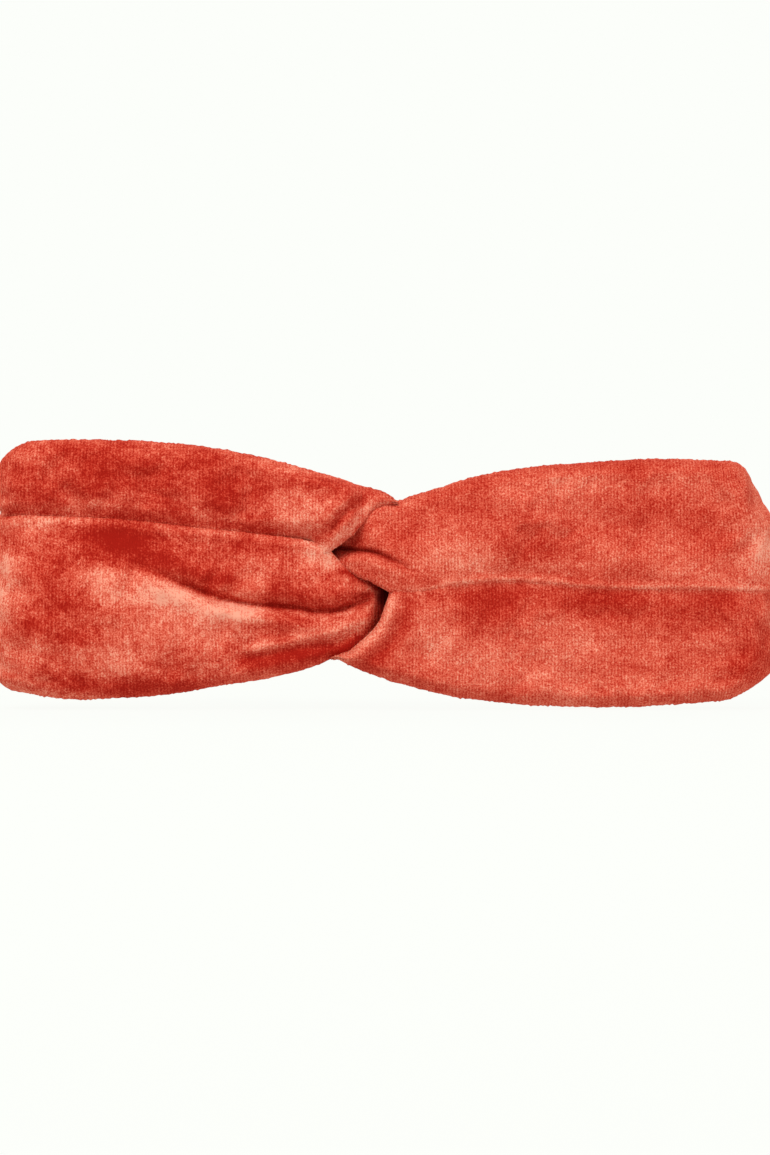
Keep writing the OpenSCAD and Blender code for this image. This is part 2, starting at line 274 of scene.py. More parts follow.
class Strip:
    """One closed soft strip as a grid of points (station, ring point), mm.

    x, y, nx, ny, along and zone are columns with one value per station of its outer line:
    place, outward direction, length run, and 0 on the front run rising to 1 on the back run.
    """
    def __init__(self, side, level, start, low, high, case_heights, sag, outer, inner,
                 edge_radii, lean=None):
        """outer and inner give the depth of the two faces below the outer line."""
        self.side, self.level = side, level
        self.sign = -1 if side == "left" else 1
        self.trace(start)
        self.outline(low, high, case_heights, sag)
        share, self.inner_side = ring()
        height = self.high - self.low
        self.z = self.low + height * share
        self.share = np.clip((self.z - self.low) / np.maximum(height, 1), 0, 1)

        outside, plain = outer(self)
        inside = np.maximum(inner(self, outside), outside + 0.3)
        gap = inside - outside
        lift = np.zeros_like(self.z)                   # 0 inside, 1 at the edge
        for edge, limit in zip((self.z - self.low, self.high - self.z), edge_radii):
            radius = np.maximum(np.minimum(np.minimum(gap * 0.5, height * 0.5), limit), 0.05)
            u = np.clip(1 - edge / radius, 0, 1)
            lift = np.maximum(lift, 1 - np.sqrt(np.maximum(0, 1 - u ** 2)))
        face = np.where(self.inner_side, inside, outside)
        self.points = self.at_depth(face + (0.5 * (outside + inside) - face) * lift)

        # thin lapped edges take their shading from the face without its rounded edges
        plain = self.at_depth(plain)
        normals = unit(np.cross(np.gradient(plain, axis=0), np.gradient(plain, axis=1)))
        count = int((~self.inner_side).sum())
        normals[:, 0] = normals[:, 1]
        normals[:, count - 1] = normals[:, count - 2]
        normals[:, count:] = 0
        self.plain_normals = normals
        self.thin = (1 - ramp(gap, 1.0, 2.2)) * ~self.inner_side

        if lean:                                       # keeps the width round the end fold
            u = np.clip((self.points[..., 0] - (HALF - 30)) / 30, 0, 1.1)
            self.points[..., 0] -= interp(lean, self.points[..., 2]) * u ** 2

    def trace(self, start):
        """The outer line, laid out on the left; start is the mirrored x for a right strip."""
        front_y, back_y = FRONT_OUT + FOLD_R, BACK_OUT - FOLD_R
        nape_x = -NAPE + 2.5

        def arc(centre_y, first, zone):
            for degrees in np.linspace(first, first - 90, ARC_STEPS, endpoint=False):
                c, s = math.cos(math.radians(degrees)), math.sin(math.radians(degrees))
                yield (-BEND + FOLD_R * c, centre_y + FOLD_R * s, c, s,
                       zone + 0.5 * (first - degrees) / 90)

        count = max(2, int(abs(-BEND - start) / STEP))
        rows = [(x, FRONT_OUT, 0, -1, 0.0)
                for x in np.linspace(start, -BEND, count, endpoint=False)]
        rows += arc(front_y, 270, 0.0)
        rows += [(-HALF, front_y + (back_y - front_y) * i / END_STEPS, -1, 0, 0.5)
                 for i in range(END_STEPS)]
        rows += arc(back_y, 180, 0.5)
        count = max(2, int(abs(nape_x + BEND) / STEP))
        rows += [(x, BACK_OUT, 0, 1, 1.0) for x in np.linspace(-BEND, nape_x, count)]
        x, y, nx, ny, zone = np.array(rows, float).T
        along = np.concatenate([[0], np.cumsum(np.hypot(np.diff(x), np.diff(y)))])
        columns = (-self.sign * x, y, -self.sign * nx, ny, along, zone)
        self.x, self.y, self.nx, self.ny, self.along, self.zone = (c[:, None] for c in columns)
        self.reach = np.abs(self.x)
        self.front = self.zone < 0.05
        self.front_mask = self.front * (1 - ramp(self.reach, BEND - 12, BEND))

    def outline(self, low, high, case_heights, sag):
        """Heights: the front outline, carried round the fold, then down to the casing."""
        end_x = self.sign * np.clip(self.reach, BEND - 4, None)
        t = 1 - ramp(self.reach, NAPE + 1, HALF - 30)
        heights = []
        for edge, case in zip((low, high), case_heights):
            back = edge(end_x)
            heights.append(np.where(self.zone > 0.5, back + (case - back) * t, edge(self.x)))
        # the free edge of the end fold sags between the two runs
        dy = (self.y - 0.5 * (FRONT_IN + BACK_IN)) / (0.5 * (BACK_IN - FRONT_IN) + 5.0)
        dip = sag * np.clip(1 - dy ** 2, 0, 1) ** 1.3 * (np.abs(self.zone - 0.5) < 0.46)
        if self.level == "lower":
            heights[0] = heights[0] + dip
        else:
            heights[1] = heights[1] - dip
        self.low, self.high = heights

    def at_depth(self, depth):
        return np.stack([self.x - self.nx * depth, self.y - self.ny * depth, self.z], -1)

    def relief(self):
        """Soft unevenness of the cloth."""
        place = (self.x, self.y, self.z)
        return (0.55 * field_large(*place) + 0.30 * field_middle(*place)
                + 0.10 * field_small(*place))

    def pleats(self, count, phase):
        """Lengthwise pleats that grow towards the casing."""
        grow = (self.zone > 0.95) * (1 - ramp(self.reach, NAPE - 1, NAPE + 34))
        angle = 2 * math.pi * count * self.share + 0.9 * np.sin(self.x * 0.07 + phase) + phase
        return 1.5 * grow ** 1.5 * (np.abs(np.sin(angle * 0.5)) ** 0.8 - 0.6)

    def end_swell(self, amount, width=0.30):
        """A swelling centred on the end fold."""
        return amount * np.exp(-((self.zone - 0.5) / width) ** 2)


# ---- features of the right half's front face, shared by several strips
def bulge(z, low, high):
    share = np.clip((z - low) / np.maximum(high - low, 1), 0, 1)
    return -1.8 * np.sin(share * math.pi) ** 0.8


def knot_lift(x, z):
    """The sheet stands proud where it rolls over the knot."""
    return -4.2 * (1 - ramp(x, 4, 36)) * (1 - ramp(z, 40, 60))


def ridge_line(x, z):
    """A soft ridge, with a hollow below it, where the two strips lap."""
    above = z - ridge(x)
    return ramp(x, 8, 34) * (-0.60 * np.exp(-((above - 1.1) / 1.2) ** 2)
                             + 0.30 * np.exp(-((above + 2.2) / 2.2) ** 2))


def right_sheet(x, z, low, high):
    """Front depth of the right upper strip."""
    d = bulge(z, low, high) + knot_lift(x, z) + ridge_line(x, z)
    d = d + 5.6 * (1 - ramp(x, -15.5, 0.5)) * ramp(z, 33, 37)
    # a hollow below the roll's edge
    gap, share = line_distance(x, z, ROLL_LINE)
    d = d + (2.2 * np.exp(-(np.minimum(gap + 1.0, 0) / 2.8) ** 2)
             * (1 - ramp(share, 0.25, 0.62)) * (1 - ramp(x, -5, 1)))
    # the sheet folds over itself: a thin deep crease with a full round band below it
    d = d + crease(x, z, RIGHT_FOLD, deep=2.8, width=0.7, fade=(0.01, 0.62))
    return d + crease(x, z, RIGHT_FOLD, deep=1.2, width=2.6, up=0.5, up_w=3.5,
                      down=1.2, down_w=2.2, fade=(0.02, 0.7))


# ---- left lower strip: the widest visible face
LEFT_FLANGE, RIGHT_FLANGE = 1.0, 0.45    # thickness of the lapped edges


def left_lower_low(x):
    return np.where(x > -17, interp(LAP_TIP_LOW, x), left_bottom(x))


def left_lower_outer(s):
    x, z, front, mask = s.x, s.z, s.front, s.front_mask
    d = -1.5 * np.sin(s.share * math.pi) ** 0.7
    # sinks into the knot
    d = d + ramp(x, -34, -4) * front * 1.8 + ramp(x, -6, 3) * front * 3.6
    d = d + mask * crease(x, z, LOW_FOLD, deep=2.3, width=1.0, fade=(0.35, 0.03))
    d = d + mask * crease(x, z, LOW_FOLD, deep=1.9, width=3.0, up=0.6, up_w=4.0,
                          down=1.6, down_w=3.2, fade=(0.4, 0.05))
    d = d + mask * crease(x, z, LOW_FOLD_TIP, deep=1.3, width=0.8, fade=(0.3, 0.2))
    d = d + mask * crease(x, z, LOW_BAND, deep=-1.0, width=1.6, down=-1.1, down_w=1.8,
                          fade=(0.3, 0.2))
    # the lapped edge is a little full, and lifts towards the knot
    d = d - 0.35 * np.exp(-((s.high - z - 2.2) / 1.6) ** 2)
    d = d - (0.5 * front * ramp(x, -40, -20) * (1 - ramp(x, -18, -9))
             * ramp(z, s.high - 9, s.high - 1))
    d = d + s.relief() + s.pleats(5, 0.4) - s.end_swell(1.9)
    return d, d


def left_lower_inner(s, outside):
    body = RUN - 0.4 - s.front * ramp(s.x, -30, -14) * 1.6 + 0.4 * s.relief()
    under = ramp(s.z, s.high - 11.6, s.high - 8.8)
    return body * (1 - under) + under * (outside + LEFT_FLANGE)


# ---- left upper strip: behind the lower one, rolls over the knot
def left_upper_low(x):
    hidden = lap(x) - 8.5
    return np.where(x > -16.8, roll_edge(x), hidden + (47.9 - hidden) * ramp(x, -22, -16.8))


def left_upper_high(x):
    return np.where(x > 3.0, interp(ROLL_TIP_HIGH, x), left_top(x))


def left_upper_outer(s):
    x, z, front = s.x, s.z, s.front
    edge = s.low + 8.5                                 # the lower strip covers it up to here
    near = ramp(x, -46, -16) * front
    sink = (1 - ramp(z, edge - 0.6, edge + 4.5 + 2.5 * near)) * (1 - ramp(x, -24, -17) * front)
    at_end = np.abs(s.zone - 0.5) < 0.45
    d = -1.3 * np.sin(s.share * math.pi) + sink * (1.75 - 0.35 * at_end + 2.4 * near)
    d = d - ramp(x, -44, -13) * front * 3.8 * (0.35 + 0.65 * ramp(z, 49, 58))
    d = d + s.front_mask * crease(x, z, ROLL_FOLD, deep=1.8, width=1.4, up=0.5, up_w=2.5,
                                  down=1.0, down_w=2.4, fade=(0.25, 0.25))
    # lies down onto the right sheet at the top
    sheet_top = np.where(x < 4.6, np.maximum(left_top(x), 60), right_top(x))
    sheet = right_sheet(x, z, right_upper_low(x), sheet_top) - 0.45 + 0.40 * ramp(x, -5, 0)
    merge = ramp(x, -11.5, -4.0) * front
    d = d * (1 - merge) + sheet * merge
    d = d + s.relief() + s.pleats(4, 1.3) + s.end_swell(1.6)
    # round the end fold its hidden margin fills out the lower strip's edge
    d = d - s.end_swell(3.3, 0.17) * (1 - ramp(z, edge - 0.8, edge + 2.2))
    tuck = ((0.8 - 0.3 * ramp(x, -3, 2)) * (1 - ramp(z, s.low - 0.1, s.low + 1.0))
            * ramp(x, -6.5, -3.0) * front)
    return d + tuck, d


def left_upper_inner(s, outside):
    # the roll over the knot is thin below and folds back over the top
    body = RUN - 0.4 + 0.3 * s.relief()
    arm = ramp(s.x, -34, -12) * s.front
    top = ramp(s.z, s.high - 11.5, s.high - 3.0)
    thin = outside + 3.2 - 2.85 * ramp(s.x, -9, -1)
    back = (RUN - 0.6) - 7.5 * ramp(s.x, -9, 3.9)
    return body * (1 - arm) + arm * (thin * (1 - top) + back * top)


# ---- right upper strip: comes out behind the left roll, in front of the right lower strip
def right_upper_low(x):
    return np.where(x < 1.5, interp(UNDER_LOW, x), ridge(x) - 0.3)


def right_upper_high(x):
    return np.where(x < 4.6, interp(UNDER_HIGH, x), right_top(x))


def right_upper_outer(s):
    x, z, low, high = s.x, s.z, s.low, s.high
    plain_run = bulge(z, low, high) - 0.45 * np.exp(-((z - low - 1.1) / 1.2) ** 2)
    top = np.where(x < 4.6, np.maximum(left_top(x), high), high)
    d = np.where(s.front, right_sheet(x, z, low, top), plain_run)
    d = d + 0.9 * s.relief() + s.pleats(4, 2.2) - s.end_swell(0.7)
    # its edge dives just under the lower strip, so that the lap reads as one soft ridge
    dive = 0.8 * (1 - ramp(z, low - 0.1, low + 0.9)) * np.where(s.front, ramp(x, 1.5, 5), 1.0)
    return d + dive, d


def right_upper_inner(s, outside):
    x, front = s.x, s.front
    body = RUN - 0.4 - (1 - ramp(x, 8, 22)) * front * 2.2 + 0.4 * s.relief()
    thin = 1 - ramp(s.z, s.low + 7.8, s.low + 10.6)
    flange = (RIGHT_FLANGE - 0.12 * front * (1 - ramp(x, 14, 40))
              + (1 - ramp(x, 0, 4)) * front * 2.2)
    return body * (1 - thin) + thin * (outside + flange)


# ---- right lower strip: wraps up from under the knot
def right_lower_low(x):
    return np.where(x < -15, interp([(-17, 15.0), (-15, 15.4)], x), right_bottom(x))


def right_lower_high(x):
    return np.where(x < 1.5, wrap_edge(x), interp(WRAP_HIGH, x))


def right_lower_outer(s):
    x, z, front = s.x, s.z, s.front
    seen_top = np.where(front, np.where(x < 1.5, wrap_edge(x), ridge(x)), s.high - 7.5)
    share = np.clip((z - s.low) / np.maximum(seen_top - s.low, 1), 0, 1)
    # the hidden margin sinks behind the upper strip's flange
    front_sink = (RIGHT_FLANGE - 0.12 * (1 - ramp(x, 14, 40))
                  + (1 - ramp(x, 0, 4)) * 2.2 * ramp(x, -0.5, 1.8))
    sink = np.where(front, front_sink, RIGHT_FLANGE)
    up = 3.2 * np.where(front, ramp(x, 0, 4), 1.0)
    d = -1.4 * np.sin(share * math.pi)
    d = d + ramp(z, seen_top - 2.6 + up, seen_top + 0.8 + 0.6 * up) * (sink + 0.35)
    lift = (knot_lift(x, z) + ridge_line(x, z) + (1 - ramp(x, -17, -4)) * 3.4
            + (1 - ramp(x, -17, -10)) * 1.6)
    # the rolled edge, with a soft hollow behind it
    gap, _ = line_distance(x, z, WRAP_EDGE)
    hollow = 1.15 * np.exp(-((gap + 6.6) / 2.4) ** 2) * (1 - ramp(z, 26, 35))
    roll = 0.6 * np.exp(-((gap + 2.0) / 1.8) ** 2)
    lift = lift + ((hollow - roll) * (1 - ramp(x, 6, 11))
                   * (1 - ramp(z, 33.5, 36.5) * ramp(x, 0, 3)))
    d = d + np.where(front, lift, 0)
    d = d + 0.9 * s.relief() + s.pleats(4, 3.1) - s.end_swell(0.7)
    return d, d


def right_lower_inner(s, outside):
    x = s.x
    body = RUN - 0.4 + 0.3 * s.relief()
    arm = (1 - ramp(x, 8, 28)) * s.front
    # full again below the strip that passes through the loop, so nothing shows between them
    full_top = np.maximum(s.low + 7.5, interp([(-17, 15), (-7, 17), (-1.2, 21), (4.6, 27),
                                               (9, 31), (12, 42), (16, 60)], x))
    full = 1 - ramp(s.z, full_top - 5, full_top)
    back = (RUN - 0.6) - 8.0 * (1 - ramp(x, -17, -3))
    return body * (1 - arm) + arm * ((outside + 3.0) * (1 - full) + back * full)


STRIPS = [
    Strip("left", "lower", start=9.0, low=left_lower_low, high=lap,
          case_heights=(CASE_LOW + 0.5, CASE_MID + 1.5), sag=2.0,
          outer=left_lower_outer, inner=left_lower_inner, edge_radii=(4.5, 1.2)),
    Strip("left", "upper", start=3.9, low=left_upper_low, high=left_upper_high,
          case_heights=(CASE_MID - 5.5, CASE_HIGH - 0.5), sag=2.5,
          outer=left_upper_outer, inner=left_upper_inner, edge_radii=(3.0, 4.5)),
    Strip("right", "upper", start=21.0, low=right_upper_low, high=right_upper_high,
          case_heights=(CASE_MID - 1.5, CASE_HIGH - 0.5), sag=3.5,
          outer=right_upper_outer, inner=right_upper_inner, edge_radii=(1.4, 4.5),
          lean=UPPER_LEAN),
    Strip("right", "lower", start=16.6, low=right_lower_low, high=right_lower_high,
          case_heights=(CASE_LOW + 0.5, CASE_MID + 5.5), sag=2.5,
          outer=right_lower_outer, inner=right_lower_inner, edge_radii=(4.5, 2.4),
          lean=LOWER_LEAN),
]


# ------------------------------------------------------------------ meshes
def link(name, data):
    ob = bpy.data.objects.new(name, data)
    bpy.context.scene.collection.objects.link(ob)
    return ob


def mesh_object(name, verts, faces, material=None, scale=MM, smooth=True):
    mesh = bpy.data.meshes.new(name)
    mesh.from_pydata((np.asarray(verts) * scale).tolist(), [], faces)
    if smooth:
        mesh.shade_smooth()
    if material:
        mesh.materials.append(material)
    return link(name, mesh)


def tube_faces(rings, around, flip=False, first=0):
    """Quads between successive closed rings of points."""
    faces = []
    for i in range(rings - 1):
        for j in range(around):
            a, b = first + i * around + j, first + i * around + (j + 1) % around
            c, d = b + around, a + around
            faces.append((a, d, c, b) if flip else (a, b, c, d))
    return faces


def add_attributes(mesh, floats, verts):
    """Values per point for the materials, and the rest position in metres."""
    for name, values in floats.items():
        attribute = mesh.attributes.new(name, "FLOAT", "POINT")
        attribute.data.foreach_set("value", values.astype(np.float32))
    rest = mesh.attributes.new("rest", "FLOAT_VECTOR", "POINT")
    rest.data.foreach_set("vector", (verts * MM).astype(np.float32).ravel())


def capped_tube(name, points, floats, material, normals=None, flip=False):
    """Mesh from a grid of rings, closed at both ends with a fan round a centre point."""
    rings, around = points.shape[:2]
    count = rings * around
    faces = tube_faces(rings, around, flip)
    for centre, i, first_end in ((count, 0, True), (count + 1, rings - 1, False)):
        for j in range(around):
            a, b = i * around + j, i * around + (j + 1) % around
            faces.append((a, b, centre) if first_end == flip else (b, a, centre))
    centres = np.array([points[0].mean(0), points[-1].mean(0)])
    verts = np.vstack([points.reshape(-1, 3), centres])
    ob = mesh_object(name, verts, faces, material)
    add_attributes(ob.data, {key: np.append(values.ravel(), [values[0].mean(), values[-1].mean()])
                             for key, values in floats.items()}, verts)
    if normals is not None:
        outward = unit(centres - np.array([points[1].mean(0), points[-2].mean(0)]))
        full = np.vstack([normals.reshape(-1, 3), outward])
        ob.data.normals_split_custom_set_from_vertices(full.tolist())
    return ob


def orient(ob):
    """Makes face directions point outwards."""
    bm = bmesh.new()
    bm.from_mesh(ob.data)
    bmesh.ops.recalc_face_normals(bm, faces=bm.faces)
    bm.to_mesh(ob.data)
    bm.free()


# ------------------------------------------------------------------ materials
def new_tree(name):
    material = bpy.data.materials.new(name)
    material.use_nodes = True
    material.node_tree.nodes.clear()
    return material, material.node_tree


def node(tree, kind, inputs=None, **settings):
    """Adds a node; inputs maps a socket's name or index to a value or to a socket."""
    new = tree.nodes.new(kind)
    for key, value in settings.items():
        setattr(new, key, value)
    for key, value in (inputs or {}).items():
        if isinstance(value, bpy.types.NodeSocket):
            tree.links.new(value, new.inputs[key])
        else:
            new.inputs[key].default_value = value
    return new


def colour_ramp(tree, factor, first, last, middle=()):
    new = node(tree, "ShaderNodeValToRGB", {0: factor})
    elements = new.color_ramp.elements
    elements[0].color = first
    elements[1].color = last
    for position, colour in middle:
        elements.new(position).color = colour
    return new.outputs[0]


def finish_cloth(tree, colour, height, bump, distance, surface):
    """Bump, principled shader and output."""
    normal = node(tree, "ShaderNodeBump",
                  {"Strength": bump, "Distance": distance, "Height": height}).outputs[0]
    shader = node(tree, "ShaderNodeBsdfPrincipled",
                  {"Base Color": colour, "Normal": normal, **surface})
    node(tree, "ShaderNodeOutputMaterial", {0: shader.outputs[0]})


def srgb(*channels):
    """Linear colour from 0-255 sRGB channels."""
    def linear(c):
        return (c / 255 / 12.92) if c / 255 <= 0.04045 else ((c / 255 + 0.055) / 1.055) ** 2.4
    return (*map(linear, channels), 1.0)


# tone ramp of the velour: besides the crushed pile's own patches, its dark end carries painted
# shade and its light end painted sheen and highlights
PILE_DARK_AND_SHADE, PILE_LIGHT_AND_SHEEN = srgb(150, 25, 16), srgb(232, 160, 135)
PILE_SHADE, PILE_BRIGHT_AND_SHEEN = srgb(170, 41, 27), srgb(220, 118, 94)
# painted shade colour for the knot's holes and the hidden faces behind it
FOLD_SHADE_COLOUR = srgb(84, 10, 10)
WALE = 1.02                              # pitch of the knit's wales, mm


def velour(name, base, seed, strength=1.0):
    """Knit velour: crushed pile in light and dark strokes, fine wales, soft sheen, with painted
    highlights and shade from the per-point nap tone.
    """
    material, tree = new_tree(name)

    def attribute(key, output="Fac"):
        return node(tree, "ShaderNodeAttribute", attribute_name=key).outputs[output]

    def calc(operation, *operands, clamp=False):
        return node(tree, "ShaderNodeMath", dict(enumerate(operands)),
                    operation=operation, use_clamp=clamp).outputs[0]

    def noise(vector, **inputs):
        return node(tree, "ShaderNodeTexNoise", {"Vector": vector, **inputs}).outputs["Fac"]

    def centred(value, gain):
        return calc("MULTIPLY", calc("SUBTRACT", value, 0.5), gain)

    rest, along, nap_and_shade = attribute("rest", "Vector"), attribute("su"), attribute("pile")
    place = node(tree, "ShaderNodeMapping", {
        "Location": (seed * 0.37, seed * 0.11, seed * 0.23), "Vector": rest}).outputs[0]
    # patches are stretched a little along the band
    stretched = node(tree, "ShaderNodeMapping",
                     {"Scale": (0.75, 0.75, 1.15), "Vector": place}).outputs[0]
    patches = noise(stretched, Scale=62, Detail=4.5, Roughness=0.62, Distortion=0.35)
    strokes = noise(place, Scale=420, Detail=3, Roughness=0.6)
    grain = noise(place, Scale=2100, Detail=2)

    # wales: a sine in the length along the strip, broken up a little by the strokes
    wobble = calc("MULTIPLY", strokes, 1.7)
    wave = calc("SINE", calc("MULTIPLY_ADD", along, 2 * math.pi / WALE, wobble))
    wales = calc("MULTIPLY_ADD", wave, 0.5, 0.5)

    layers = [centred(patches, 1.5 * strength), centred(strokes, 0.8 * strength),
              centred(grain, 1.4), centred(wales, 0.13)]
    tone = layers[0]
    for layer in layers[1:]:
        tone = calc("ADD", tone, layer)
    # the per-point tone: crushed-pile patches partly painted as sheen and shade, and painted
    # highlights and shade along folds and edges
    tone = calc("MULTIPLY_ADD", nap_and_shade, 0.40, tone)
    tone = calc("ADD", tone, 0.5, clamp=True)
    colour = colour_ramp(tree, tone, PILE_DARK_AND_SHADE, PILE_LIGHT_AND_SHEEN,
                         ((0.22, PILE_SHADE), (0.5, base), (0.74, PILE_BRIGHT_AND_SHEEN)))
    # painted shade: where the deep attribute is set, in the knot's holes and on the faces behind
    # it, the colour is mixed towards a near-black red and the sheen is turned down, as almost no
    # light comes back out of the pile there
    deep = attribute("deep")
    colour = node(tree, "ShaderNodeMix", {0: deep, 6: colour, 7: FOLD_SHADE_COLOUR},
                  data_type="RGBA").outputs[2]
    sheen = calc("MULTIPLY_ADD", deep, -0.28, 0.28, clamp=True)
    # relief: wales, strokes and grain
    height = calc("MULTIPLY", wales, 0.32)
    height = calc("MULTIPLY_ADD", strokes, 0.9, height)
    height = calc("MULTIPLY_ADD", grain, 0.8, height)
    finish_cloth(tree, colour, height, bump=0.55, distance=0.00045, surface={
        "Roughness": 0.92, "Specular IOR Level": 0.03, "Sheen Weight": sheen,
        "Sheen Roughness": 0.38, "Sheen Tint": srgb(255, 118, 88)})
    return material


def thread_material(name, colour):
    """Diagonal twist, with painted shade making it darker between the plies."""
    material, tree = new_tree(name)
    place = node(tree, "ShaderNodeTexCoord").outputs["Object"]
    twist = node(tree, "ShaderNodeTexWave", {"Scale": 900, "Distortion": 1.0, "Vector": place},
                 bands_direction="DIAGONAL").outputs["Fac"]
    dark = tuple(channel * 0.6 for channel in colour[:3]) + (1,)
    finish_cloth(tree, colour_ramp(tree, twist, dark, colour), twist, bump=0.5, distance=0.0002,
                 surface={"Roughness": 0.55, "Specular IOR Level": 0.2})
    return material


def elastic_material():
    """A weave: two crossed waves multiplied."""
    material, tree = new_tree("woven_elastic")
    rest = node(tree, "ShaderNodeAttribute", attribute_name="rest").outputs["Vector"]
    waves = [node(tree, "ShaderNodeTexWave", {"Scale": scale, "Vector": rest},
                  bands_direction=axis).outputs["Fac"] for axis, scale in (("Z", 260), ("X", 420))]
    weave = node(tree, "ShaderNodeMath", dict(enumerate(waves)), operation="MULTIPLY").outputs[0]
    colour = colour_ramp(tree, weave, srgb(205, 198, 188), srgb(243, 240, 234))
    finish_cloth(tree, colour, weave, bump=0.6, distance=0.0004, surface={"Roughness": 0.7})
    return material


VELOUR = {
    "left": velour("velour_left_strip", srgb(200, 79, 59), seed=1.0),
    "right": velour("velour_right_strip", srgb(199, 79, 59), seed=5.0, strength=0.60),
    "casing": velour("velour_nape_casing", srgb(197, 71, 51), seed=9.0),
}
THREAD = thread_material("sewing_thread", srgb(176, 52, 38))
ELASTIC = elastic_material()

# ------------------------------------------------------------------ cloth settling
SETTLE_CAP = 1.5                         # largest movement kept, mm
SETTLE_FRAMES = 22
SETTLE_SCALE = 10.0 * MM                 # simulated ten times larger
CLOTH = {
    "quality": 6, "mass": 0.25,
    "tension_stiffness": 12, "compression_stiffness": 12,
    "shear_stiffness": 4, "bending_stiffness": 0.25,
    "vertex_group_mass": "hold", "pin_stiffness": 1.0,
    "shrink_min": -0.035,                # a little slack
    "use_pressure": True, "uniform_pressure_force": 0.6,
}


def simulate(coarse, hold):
    """Runs the cloth simulation on a coarse grid of rings; returns the settled grid."""
    rings, around = coarse.shape[:2]
    ob = mesh_object("settle", coarse.reshape(-1, 3), tube_faces(rings, around),
                     scale=SETTLE_SCALE, smooth=False)
    mesh = ob.data
    group = ob.vertex_groups.new(name="hold")
    for i, weight in enumerate(hold.reshape(-1)):
        if weight > 0.004:
            group.add([i], float(min(weight, 1.0)), "REPLACE")
    cloth = ob.modifiers.new("Cloth", "CLOTH")
    for key, value in CLOTH.items():
        setattr(cloth.settings, key, value)
    cloth.settings.effector_weights.gravity = 0.0
    cloth.collision_settings.use_collision = False
    scene = bpy.context.scene
    scene.frame_start, scene.frame_end = 1, SETTLE_FRAMES
    cloth.point_cache.frame_start, cloth.point_cache.frame_end = 1, SETTLE_FRAMES
    for frame in range(1, SETTLE_FRAMES + 1):
        scene.frame_set(frame)
    settled = ob.evaluated_get(bpy.context.evaluated_depsgraph_get())
    result = settled.to_mesh()
    coords = np.empty(len(result.vertices) * 3)
    result.vertices.foreach_get("co", coords)
    settled.to_mesh_clear()
    bpy.data.objects.remove(ob, do_unlink=True)
    bpy.data.meshes.remove(mesh)
    scene.frame_set(1)
    return coords.reshape(coarse.shape) / SETTLE_SCALE


def settle(s):
    """Moves a strip as a coarse cloth copy settles, with slack and a little air in it.

    It is held at the knot, the casing, the rims and the lapped edge.
    """
    rings, around = s.points.shape[:2]
    rows = np.unique(np.linspace(0, rings - 1, int(rings / 3)).round().astype(int))
    cols = np.unique(np.linspace(0, around - 1, int(around / 2.6)).round().astype(int))[:-1]
    coarse = s.points[np.ix_(rows, cols)]
    z = s.z[np.ix_(rows, cols)]
    below = z - z.min(axis=1, keepdims=True)
    above = z.max(axis=1, keepdims=True) - z
    reach, zone = s.reach[rows], s.zone[rows]
    hold = (np.where(zone < 0.05, 1 - ramp(reach, 28, 46), 0)
            + np.where(zone > 0.95, 1 - ramp(reach, NAPE + 4, NAPE + 18), 0))
    hold = np.maximum(hold, 1 - ramp(np.minimum(below, above), 2.0, 6.0))
    lapped = above if s.level == "lower" else below
    hold = np.maximum(hold, 1 - ramp(lapped, 8.5, 14.0))

    move = (simulate(coarse, hold) - coarse) * (1 - np.clip(hold, 0, 1))[..., None]
    move = np.nan_to_num(move)
    length = np.linalg.norm(move, axis=2, keepdims=True)
    move = move * (SETTLE_CAP * np.tanh(length / SETTLE_CAP) / np.maximum(length, 1e-6))

    # carried over to every point of the fine mesh
    closed_cols = np.concatenate([cols, [cols[0] + around]])
    move = np.concatenate([move, move[:, :1]], axis=1)
    move = np.apply_along_axis(
        lambda values: np.interp(np.arange(around), closed_cols, values), 1, move)
    move = np.apply_along_axis(lambda values: np.interp(np.arange(rings), rows, values), 0, move)
    for _ in range(2):                                 # no steps between the coarse points
        move[1:-1] = 0.25 * move[:-2] + 0.5 * move[1:-1] + 0.25 * move[2:]
        move = 0.25 * np.roll(move, 1, axis=1) + 0.5 * move + 0.25 * np.roll(move, -1, axis=1)
    s.points = s.points + move


for strip in STRIPS:
    settle(strip)

